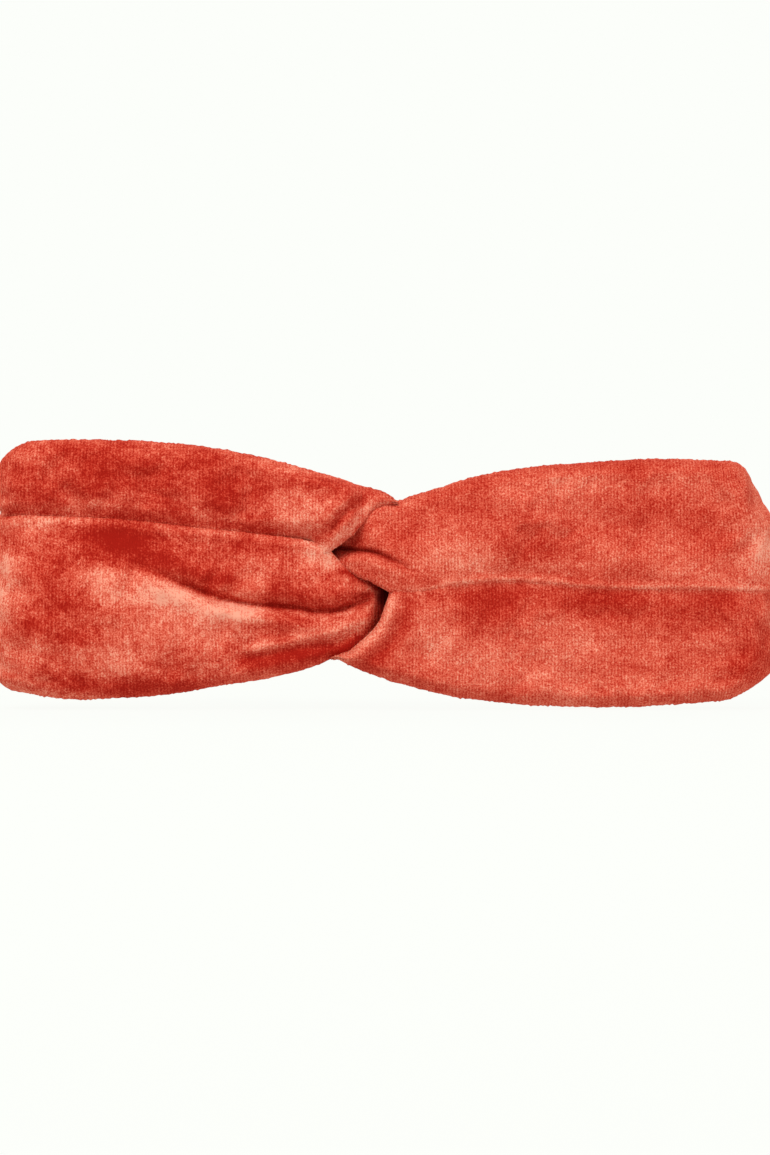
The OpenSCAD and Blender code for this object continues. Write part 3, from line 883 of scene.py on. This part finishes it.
# ------------------------------------------------------------------ nap tone, with painted sheen, highlights and shade
# patches: x, z, half width, half height, amount (positive is lighter); crushed-pile patches partly
# painted as sheen and shade, with painted highlights on lit crests and painted shade over the upper
# faces
NAP_AND_SHADE_PATCHES = {
    "left": [
        (-82, 52, 16, 4.6, -1.15), (-69, 44.5, 12, 4, -0.85), (-56, 40, 10, 4, -0.45),
        (-101, 40, 8, 8, -0.95), (-96, 31, 11, 3.6, -0.5), (-118, 38, 5.5, 22, 0.8),
        (-108, 56.3, 11, 2.4, 0.5), (-86, 41, 9, 3.6, 0.85), (-71, 34.5, 12, 4.2, 0.75),
        (-52, 29, 13, 3.2, 0.45), (-79, 15, 10, 4.4, 0.85), (-98, 22, 9, 4, -0.45),
        (-60, 20, 12, 4, 0.4), (-41, 19.5, 12, 2.6, 0.35), (-82, 6.5, 26, 3.0, -0.95),
        (-112, 10, 7, 5, 0.4), (-26, 17, 15, 3.0, -0.6), (-50, 45, 20, 4, -0.1),
        (-22, 46.5, 7, 3.6, 0.45), (-34, 40, 14, 5, 0.2), (-24, 58, 8, 5, 0.25),
        (-48, 66, 16, 7, -0.25), (-100, 66, 14, 7, -0.2), (-70, 72, 50, 9, -0.25),
        (-88, 62, 16, 3, 0.3), (-66, 68, 50, 12, -0.22)],
    "right": [
        (60, 68, 13, 5, 0.45), (66, 75, 26, 2.6, -0.45), (50, 49, 13, 5, -0.35),
        (26, 48, 13, 9, 0.28), (16, 24, 6, 10, 0.45), (28, 29, 8, 7, -0.4),
        (72, 30, 20, 5, -0.4), (46, 31, 18, 3.4, -0.3), (96, 28, 14, 6, -0.3),
        (86, 7, 24, 4.4, 0.5), (30, 8, 16, 4, 0.25), (116, 49, 5, 14, 0.7),
        (112, 15, 10, 8, -0.4), (90, 60, 16, 6, -0.15), (12, 62, 8, 6, -0.15),
        (58, 18, 16, 6, 0.3), (100, 72, 10, 4, 0.2), (62, 60, 46, 15, -0.18)],
}
ABOVE_ROLL = [(-19, 53.0), (-15.5, 55.2), (-12.5, 58.2), (-9.5, 61), (-6.5, 62.6), (-1, 64)]
# painted highlights and shade along folds, rolled edges, laps and ridges: line, offset above it,
# half width, amount, fades at its ends
SHADE_AND_HIGHLIGHT_STROKES = {
    "left": [
        (LOW_FOLD, 0.0, 1.1, -0.9, (0.3, 0.02)), (LOW_FOLD[:9], -3.6, 2.8, 0.42, (0.25, 0.5)),
        (LOW_FOLD, -1.6, 0.8, 0.35, (0.4, 0.1)), (LOW_FOLD, 4.5, 3.2, -0.35, (0.4, 0.2)),
        (LOW_FOLD_TIP, 0.0, 0.8, -0.7, (0.3, 0.1)), (LOW_FOLD_TIP, -1.6, 0.9, 0.4, (0.3, 0.1)),
        (LOW_BAND, 0.5, 1.9, 0.45, (0.3, 0.2)), (LOW_BAND, -4.6, 2.6, -0.55, (0.25, 0.1)),
        (LAP[:-7], -1.2, 1.1, 0.36, (0.01, 0.04)), (LAP[:-8], 1.4, 1.3, -0.32, (0.01, 0.02)),
        (ROLL_FOLD, 0.0, 1.7, -0.45, (0.2, 0.2)), (ROLL_LINE, 2.4, 1.7, 0.6, (0.02, 0.2)),
        (ABOVE_ROLL, 5.5, 4.0, 0.2, (0.1, 0.2)), (UNDER_EDGE, -0.5, 1.1, -1.0, (0.35, 0.01)),
        (WRAP_EDGE, 0.8, 1.3, -1.0, (0.25, 0.01))],
    "right": [
        (RIGHT_FOLD, 0.0, 0.8, -1.0, (0.01, 0.6)), (RIGHT_FOLD, -3.0, 2.0, 0.2, (0.1, 0.2)),
        (ROLL_LINE, -1.8, 2.4, -0.8, (0.01, 0.6)), (WRAP_EDGE, -1.6, 1.5, 0.65, (0.05, 0.02)),
        (WRAP_EDGE, -7.0, 2.8, -0.65, (0.2, 0.05)), (RIDGE, 0.9, 0.9, 0.50, (0.08, 0.02)),
        (RIDGE, -3.0, 2.8, -0.32, (0.20, 0.02))],
}
# painted shade in the holes at the knot, columns as for the patches
HOLE_SHADE_SPOTS = {"left": [(0.8, 33.8, 3.4, 3.8, 1.6)], "right": [(-17.2, 48.2, 2.2, 1.6, 1.2)]}


def patches_at(table, points):
    x, z = points[..., 0], points[..., 2]
    return sum(amount * np.exp(-((x - cx) / half_w) ** 2 - ((z - cz) / half_h) ** 2)
               for cx, cz, half_w, half_h, amount in table)


def painted_hole_shade(s):
    # how far the colour is mixed towards the painted fold shade, on the front run only
    return np.clip(patches_at(HOLE_SHADE_SPOTS[s.side], s.points), 0, 0.92) * s.front


def nap_tone_and_painted_light(s):
    # crushed-pile patches, partly painted sheen and shade, plus painted highlights and shade along
    # folds and edges on the front; the back run keeps weaker patches only
    patches = patches_at(NAP_AND_SHADE_PATCHES[s.side], s.points)
    strokes = np.zeros(patches.shape)
    for line, offset, width, amount, fade in SHADE_AND_HIGHLIGHT_STROKES[s.side]:
        d, share = line_distance(s.points[..., 0], s.points[..., 2], line)
        strokes += amount * np.exp(-((d - offset) / width) ** 2) * fade_ends(share, fade)
    near = 1 - ramp(s.zone, 0.1, 0.4)
    return np.where(s.zone < 0.45, patches + strokes * near, 0.35 * patches)


def blend_front(ob):
    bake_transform(ob)


def blend_back(ob):
    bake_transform(ob)


def blend_corners(front_end, back_end):
    """Bakes the transforms of the two halves of the end fold."""
    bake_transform(front_end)
    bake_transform(back_end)


def strip_normals(s):
    """Outward normals of the strip, and whether its faces must be flipped."""
    points = s.points
    normals = unit(np.cross(np.gradient(points, axis=0),
                            np.roll(points, -1, axis=1) - np.roll(points, 1, axis=1)))
    flip = float((normals * (points - points.mean(axis=1, keepdims=True))).sum()) > 0
    if not flip:
        normals = -normals
    outward = np.stack([s.nx, s.ny, 0 * s.nx], -1)
    agree = (s.plain_normals * outward).sum(-1) >= 0
    plain = s.plain_normals * np.where(agree, 1.0, -1.0)[..., None]
    thin = s.thin[..., None]
    return unit(normals * (1 - thin) + plain * thin), flip


def strip_pieces(s):
    """Cuts a strip into front run, two halves of the end fold, and back run."""
    tag = f"{s.side}_{s.level}_strip"
    cad = f"{s.side}_{s.level}"
    normals, flip = strip_normals(s)
    # pile: nap tone with painted highlights and shade; deep: painted shade in the knot's holes
    floats = {"su": s.along + 0 * s.z, "pile": nap_tone_and_painted_light(s), "deep": painted_hole_shade(s)}

    fold_middle = (np.abs(s.y - 0.5 * (FRONT_IN + BACK_IN))
                   + 100 * (np.abs(s.zone - 0.5) > 0.2))
    cuts = [0,
            int(np.argmin(np.where(s.front, np.abs(s.reach - (HALF - 36)), 1e9))),
            int(np.argmin(fold_middle)),
            int(np.argmin(np.where(s.zone > 0.95, np.abs(s.reach - (HALF - 32)), 1e9))),
            len(s.x) - 1]

    # pile roughness, stronger at the rims
    random = np.random.RandomState(len(tag) * 7 + (1 if s.sign > 0 else 0))
    jitter = random.normal(size=s.z.shape)
    jitter = 0.6 * jitter + 0.4 * np.roll(jitter, 1, axis=1)
    rim = np.minimum(s.z - s.z.min(axis=1, keepdims=True), s.z.max(axis=1, keepdims=True) - s.z)
    rough = jitter * (0.05 + 0.13 * np.exp(-(rim / 1.2) ** 2))
    points = s.points + normals * rough[..., None]

    pieces = []
    for k, part in enumerate(("front_run", "end_fold_front", "end_fold_back", "back_run")):
        span = slice(cuts[k], cuts[k + 1] + 1)
        ob = capped_tube(f"{tag}_{part}", points[span],
                         {key: values[span] for key, values in floats.items()},
                         VELOUR[s.side], normals[span], flip)
        pieces.append(ob)
    blend_front(pieces[0])
    blend_corners(pieces[1], pieces[2])
    blend_back(pieces[3])
    # the strip whose edge shows at the knot also stands for that side's loop bend
    has_bend = (s.side, s.level) in (("left", "upper"), ("right", "lower"))
    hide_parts(cad + "_leg", *([s.side + "_loop_bend"] if has_bend else []))
    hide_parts(cad + "_end")
    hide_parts(cad + "_rear")


for strip in STRIPS:
    strip_pieces(strip)

# ------------------------------------------------------------------ limbs behind the knot
LIMB_Y = FRONT_IN - 2.3
LIMB_THICK = 4.0
# middle line: x, offset from LIMB_Y, z, half width in x
LEFT_LIMB = [
    (2, -2.0, 58.0, 6), (3.5, -0.5, 57.5, 8.5), (5.5, 0, 54, 10), (7, 0, 46, 9.5),
    (6, 0, 36, 9), (3, 0, 29, 8), (-2, -0.3, 26, 6)]
RIGHT_LIMB = [
    (-7, -1.0, 21.0, 4), (-8, -0.5, 22, 5.5), (-9.5, 0.2, 26, 7.5), (-10.5, 0.2, 34, 8.5),
    (-11.5, 0.2, 42, 9.5), (-13, 0.2, 49, 10.5), (-12, 0, 55, 9), (-10, -0.3, 60, 5)]


def limb(side, table, phase):
    """A soft strip standing behind the knot."""
    table = np.array(table, float)
    table[:, 1] += LIMB_Y
    t = np.linspace(0, len(table) - 1, 46)
    x, y, z, half = (np.interp(t, range(len(table)), column) for column in table.T)
    middle = np.stack([x, y, z], 1)
    for _ in range(6):
        middle[1:-1] = 0.25 * middle[:-2] + 0.5 * middle[1:-1] + 0.25 * middle[2:]
    tangent = np.gradient(middle, axis=0)
    tangent /= np.linalg.norm(tangent, axis=1)[:, None]
    across = np.array([1.0, 0, 0])
    normal = np.cross(tangent, across)
    normal /= np.linalg.norm(normal, axis=1)[:, None]
    normal = normal[:, None, :]
    # flattened oval section
    angle = np.linspace(0, 2 * math.pi, 56, endpoint=False)
    cosine, sine = np.cos(angle), np.sin(angle)
    wide = np.sign(cosine) * np.abs(cosine) ** 0.65
    deep = np.sign(sine) * np.abs(sine) ** 0.8
    points = (middle[:, None, :] + across * (half[:, None] * wide)[..., None]
              + normal * (0.5 * LIMB_THICK * deep)[None, :, None])
    # lengthwise pleats
    pleat = wide[None, :] * 5.5 + phase + 0.6 * np.sin(t * 0.9)[:, None]
    points = points + normal * (0.45 * np.cos(pleat) * np.abs(deep))[..., None]
    along = np.concatenate([[0], np.cumsum(np.linalg.norm(np.diff(middle, axis=0), axis=1))])
    # painted shade: the face turned towards the front run, hidden behind the knot, is mixed towards
    # the fold shade colour
    front = np.clip((middle[:, 1][:, None] - points[..., 1]) / (0.5 * LIMB_THICK), 0, 1)
    floats = {"su": along[:, None] + 0 * pleat, "pile": 0.2 * np.cos(pleat * 0.7),
              "deep": 0.85 * smoothstep(front * 1.6)}
    ob = capped_tube(side + "_loop_back_limb", points, floats, VELOUR[side])
    orient(ob)
    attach(ob, "knot")


limb("left", LEFT_LIMB, phase=0.4)
limb("right", RIGHT_LIMB, phase=2.1)


# ------------------------------------------------------------------ gathered casing at the nape
GATHER_PITCH = 4.6
CASE_WALL = 1.3
CHANNEL_INSET = 5.5                      # the elastic's channel seams, from the edges


def casing(name, x0, x1, grow=0.0):
    """A gathered sleeve with an inner wall; grow makes it fuller."""
    share, inner_side = ring(56, 52)
    X = np.linspace(x0, x1, int((x1 - x0) / 0.42))[:, None] + 0 * share
    share = share + 0 * X
    side = np.where(inner_side, -1.0, 1.0) + 0 * X
    z0, z1 = CASE_LOW + 0.6, CASE_HIGH - 0.6
    half_t = RUN * 0.5 - 1.2
    middle_y = 0.5 * (BACK_IN + BACK_OUT)
    middle_z = 0.5 * (z0 + z1)
    # ruffled edges
    edge_high = z1 + 0.9 * np.sin(X * 1.31) + 0.5 * np.sin(X * 0.53 + 2)
    edge_low = z0 + 0.9 * np.sin(X * 1.27 + 1.7) + 0.5 * np.sin(X * 0.61)
    Z = edge_low + (edge_high - edge_low) * share
    # gathers
    wander = 1.5 * field_gathers(X * 0.35, side * 9, Z) + 0.9 * np.sin(Z * 0.11 + side)
    phase = 2 * math.pi * (X + wander) / GATHER_PITCH
    fold = np.abs(np.sin(phase * 0.5)) ** 1.25
    small = 0.5 + 0.5 * np.sin(phase * 2.3 + Z * 0.2)
    edge = np.minimum(Z - edge_low, edge_high - Z)
    u = np.clip(1 - edge / half_t, 0, 1)
    rounding = np.sqrt(np.maximum(0, 1 - u ** 2))
    amount = 0.55 + 0.45 * np.clip(np.sin(math.pi * share), 0, 1)
    depth = half_t * rounding + ((fold * 2.0 + small * 0.25 - 1.0) * (0.25 + 0.75 * rounding)
                                 * amount * np.minimum(1, (X - x0 + 6) / 7 + 1e-6))
    depth = np.maximum(depth, 0.15)
    for seam_z in (z0 + CHANNEL_INSET, z1 - CHANNEL_INSET):
        depth = depth - 0.9 * np.exp(-((Z - seam_z) / 0.8) ** 2) * rounding
    depth = depth + grow
    outer = np.stack([X, middle_y + side * depth, Z], -1)
    inner_depth = np.maximum(depth - CASE_WALL, 1.15) * np.where(rounding > 0.3, 1, 0.6)
    inner_z = middle_z + (Z - middle_z) * (1 - 2.6 * CASE_WALL / (z1 - z0))
    inner = np.stack([X, middle_y + side * inner_depth, inner_z], -1)

    rings, around = X.shape
    count = rings * around
    walls = zip(tube_faces(rings, around, flip=True), tube_faces(rings, around, first=count))
    faces = [face for pair in walls for face in pair]
    for i in (0, rings - 1):
        for j in range(around):
            a, b = i * around + j, i * around + (j + 1) % around
            faces.append((b, a, count + a, count + b) if i else (a, b, count + b, count + a))
    verts = np.vstack([outer.reshape(-1, 3), inner.reshape(-1, 3)])
    ob = mesh_object(name, verts, faces, VELOUR["casing"])
    # painted highlights and shade: the nap tone is lighter on the gathers' crests and darker in
    # their troughs
    add_attributes(ob.data, {"su": np.tile(Z.ravel(), 2),
                             "pile": np.tile(0.6 * (fold - 0.55).ravel(), 2)}, verts)
    orient(ob)
    return ob


def blend_nape(ob):
    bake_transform(ob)


sleeve = casing("nape_casing_sleeve", -NAPE + 0.5, HEM_X + 0.4)
blend_nape(sleeve)
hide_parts("nape_casing", "casing_end")
hem = casing("nape_casing_hem", HEM_X - 2.6, NAPE - 0.5, grow=0.35)
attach(hem, "right_join")
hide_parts("casing_right_hem")


# ------------------------------------------------------------------ woven elastic in the casing
def elastic_band():
    half_t = 0.7
    rib_pitch = 1.7
    low, high = box_mm("nape_elastic")
    share, inner_side = ring(30, 28)
    X = np.linspace(-NAPE + 3, HEM_X - 1, 150)[:, None] + 0 * share
    Z = low[2] + (high[2] - low[2]) * share + 0 * X
    edge = np.minimum(Z - low[2], high[2] - Z)
    u = np.clip(1 - edge / half_t, 0, 1)
    depth = half_t * np.sqrt(np.clip(1 - u ** 2, 0, 1)) + 0.05
    ribs = 1 + 0.10 * np.sin(Z * 2 * math.pi / rib_pitch)
    Y = 0.5 * (low[1] + high[1]) + np.where(inner_side, -1, 1) * depth * ribs
    ob = capped_tube("nape_elastic_band", np.stack([X, Y, Z], -1), {"su": X, "pile": 0 * X},
                     ELASTIC)
    orient(ob)
    blend_nape(ob)
    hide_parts("nape_elastic")


elastic_band()


# ------------------------------------------------------------------ stitches, half sunk in cloth
def stitches(name, segments, radius):
    """One curved, tapered bar per (start, end, outward), diving at both ends."""
    verts, faces = [], []
    rings, around = 7, 8
    for start, end, outward in segments:
        start, end, outward = (np.array(v, float) for v in (start, end, outward))
        axis = end - start
        length = np.linalg.norm(axis)
        axis = axis / length
        across = np.cross(axis, outward)
        across /= np.linalg.norm(across)
        first = len(verts)
        for i in range(rings):
            t = i / (rings - 1)
            bow = math.sin(math.pi * t)
            centre = start + axis * length * t + outward * (radius * 1.1 * bow - 0.4 * radius)
            thick = radius * (0.45 + 0.55 * bow ** 0.5)
            for j in range(around):
                angle = 2 * math.pi * j / around + t * 2.2
                twist = 1 + 0.12 * math.cos(2 * (angle - t * 9))
                spoke = across * math.cos(angle) + outward * math.sin(angle)
                verts.append(centre + spoke * thick * twist)
        faces += tube_faces(rings, around, first=first)
        tip = len(verts)
        verts.append(start - axis * 0.15 * radius - outward * 0.5 * radius)
        verts.append(end + axis * 0.15 * radius - outward * 0.5 * radius)
        last = first + (rings - 1) * around
        for j in range(around):
            following = (j + 1) % around
            faces.append((first + following, first + j, tip))
            faces.append((last + j, last + following, tip + 1))
    ob = mesh_object(name, verts, faces, THREAD)
    orient(ob)
    return ob


THREAD_R = 0.42
SEAM_THREAD_R = 0.36


def join_stitches(side, x, body):
    """Upright rows on both faces of the back run where a half joins the casing."""
    pitch = 2.6
    segments = []
    for facing, y in ((1, BACK_OUT), (-1, BACK_IN)):
        y = y + facing * 0.15
        for k, z in enumerate(np.arange(CASE_LOW + 2.5, CASE_HIGH - 2.5, pitch)):
            segments.append(((x + 0.25 * math.sin(k * 1.7), y, z),
                             (x + 0.25 * math.sin(k * 1.7 + 1), y, z + pitch * 0.66),
                             (0, facing, 0)))
    ob = stitches(side + "_join_stitch_rows", segments, THREAD_R)
    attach(ob, body)
    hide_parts(side + "_join_stitches")


def seam(s, run):
    """A line of stitches on the inside face of a strip's front or back run."""
    if run == "front":
        on_run, reach_low, reach_high, facing = s.front, KNOT + 4, HALF - 38, 1
    else:
        on_run, reach_low, reach_high, facing = s.zone > 0.95, NAPE + 4, HALF - 34, -1
    height_share = 0.45 if s.level == "lower" else 0.55
    seam_z = (s.low + (s.high - s.low) * height_share)[:, 0]
    inside = s.points[:, s.inner_side]

    def on_cloth(i):
        return inside[i][int(np.argmin(np.abs(inside[i][:, 2] - seam_z[i])))]

    stations = np.where(on_run & (s.reach >= reach_low) & (s.reach <= reach_high))[0]
    segments = [(on_cloth(i), on_cloth(j), (0, facing, 0))
                for i, j in zip(stations[::3], stations[2::3])]
    ob = stitches(f"{s.side}_{s.level}_{run}_seam_thread", segments, SEAM_THREAD_R)
    if run == "front":
        blend_front(ob)
    else:
        blend_back(ob)
    if s.level == "lower":
        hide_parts(s.side + ("_front_seams" if run == "front" else "_rear_seams"))


def knot_tacks():
    """Four pairs of crossing threads behind the knot."""
    y = FRONT_IN - 0.8
    segments = []
    for k, z in enumerate((27, 35, 43, 51)):
        segments.append(((-4.5 + 0.6 * (k % 2), y, z), (0.5, y, z + 1.5), (0, 1, 0)))
        segments.append(((-4.2, y, z + 2.2), (0.8, y, z + 0.2), (0, 1, 0)))
    ob = stitches("knot_tack_threads", segments, THREAD_R)
    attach(ob, "knot")
    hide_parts("knot_tack_stitches")


join_stitches("left", -NAPE + 1.6, "nape")
join_stitches("right", NAPE - 1.6, "right_join")
left_lower, left_upper, right_upper, right_lower = STRIPS
for strip in (left_lower, left_upper, right_lower, right_upper):
    seam(strip, "front")
    seam(strip, "back")
knot_tacks()

# ------------------------------------------------------------------ stage, light, camera (metres)
PALE = srgb(252, 254, 250)               # surroundings as the camera sees them
WARM = (1.0, 0.93, 0.90, 1)              # and as they light the cloth
WORLD_LIT, FLOOR_LIT = 0.62, 0.92        # how strongly they light the cloth


def light_surroundings(tree, emitter, lit):
    """Full strength and pale to the camera; weaker and warm to every other ray."""
    emitter.inputs["Color"].default_value = PALE
    camera_ray = node(tree, "ShaderNodeLightPath").outputs["Is Camera Ray"]
    strength = node(tree, "ShaderNodeMath", {0: camera_ray, 1: 1 - lit, 2: lit},
                    operation="MULTIPLY_ADD")
    tree.links.new(strength.outputs[0], emitter.inputs["Strength"])
    colour = node(tree, "ShaderNodeMix", {0: camera_ray, 6: WARM, 7: PALE}, data_type="RGBA")
    tree.links.new(colour.outputs[2], emitter.inputs["Color"])


def studio_floor():
    material, tree = new_tree("pale_floor")
    diffuse = node(tree, "ShaderNodeBsdfDiffuse", {"Color": (0.80, 0.81, 0.79, 1)})
    glow = node(tree, "ShaderNodeEmission")
    light_surroundings(tree, glow, FLOOR_LIT)
    mixed = node(tree, "ShaderNodeMixShader",
                 {0: 0.96, 1: diffuse.outputs[0], 2: glow.outputs[0]})
    node(tree, "ShaderNodeOutputMaterial", {0: mixed.outputs[0]})
    half, z = 6.0, -0.0006
    corners = [(-half, -half, z), (half, -half, z), (half, half, z), (-half, half, z)]
    mesh_object("studio_floor", corners, [(0, 1, 2, 3)], material,
                         scale=1.0, smooth=False)


def studio_world():
    world = bpy.data.worlds.new("studio")
    bpy.context.scene.world = world
    world.use_nodes = True
    light_surroundings(world.node_tree, world.node_tree.nodes["Background"], WORLD_LIT)


def area_light(name, place, size, power, colour=(1, 1, 1)):
    """A rectangular light aimed at the band."""
    light = bpy.data.lights.new(name, "AREA")
    light.shape = "RECTANGLE"
    light.size, light.size_y = size
    light.energy = power
    light.color = colour
    ob = link(name, light)
    ob.location = place
    ob.rotation_mode = "QUATERNION"
    aim = Vector((0, 0, 0.04)) - Vector(place)
    ob.rotation_quaternion = aim.to_track_quat("-Z", "Y")


def camera():
    """Looks along +Y at the front face."""
    view_side = 355.0 * HALF / 120.0     # longer side of the view at the front face, mm
    view_z = 40.2                        # height of the lens, mm
    cam = bpy.data.cameras.new("cam")
    ob = link("cam", cam)
    bpy.context.scene.camera = ob
    cam.lens = 110
    cam.sensor_width = 36
    distance = cam.lens / cam.sensor_width * view_side
    ob.location = (0, (FRONT_OUT - distance) * MM, view_z * MM)
    ob.rotation_mode = "QUATERNION"
    ob.rotation_quaternion = Vector((0, 1, 0)).to_track_quat("-Z", "Y")
    cam.clip_start, cam.clip_end = 0.05, 30


studio_floor()
studio_world()
area_light("key", place=(-0.45, -0.75, 0.95), size=(0.6, 0.5), power=10.4,
           colour=(1.0, 0.985, 0.96))
area_light("fill", place=(0.8, -0.7, 0.35), size=(0.6, 0.6), power=3.0)
area_light("back", place=(0.3, 0.9, 0.7), size=(0.7, 0.5), power=5.0)
camera()
bpy.context.scene.view_settings.view_transform = "Standard"
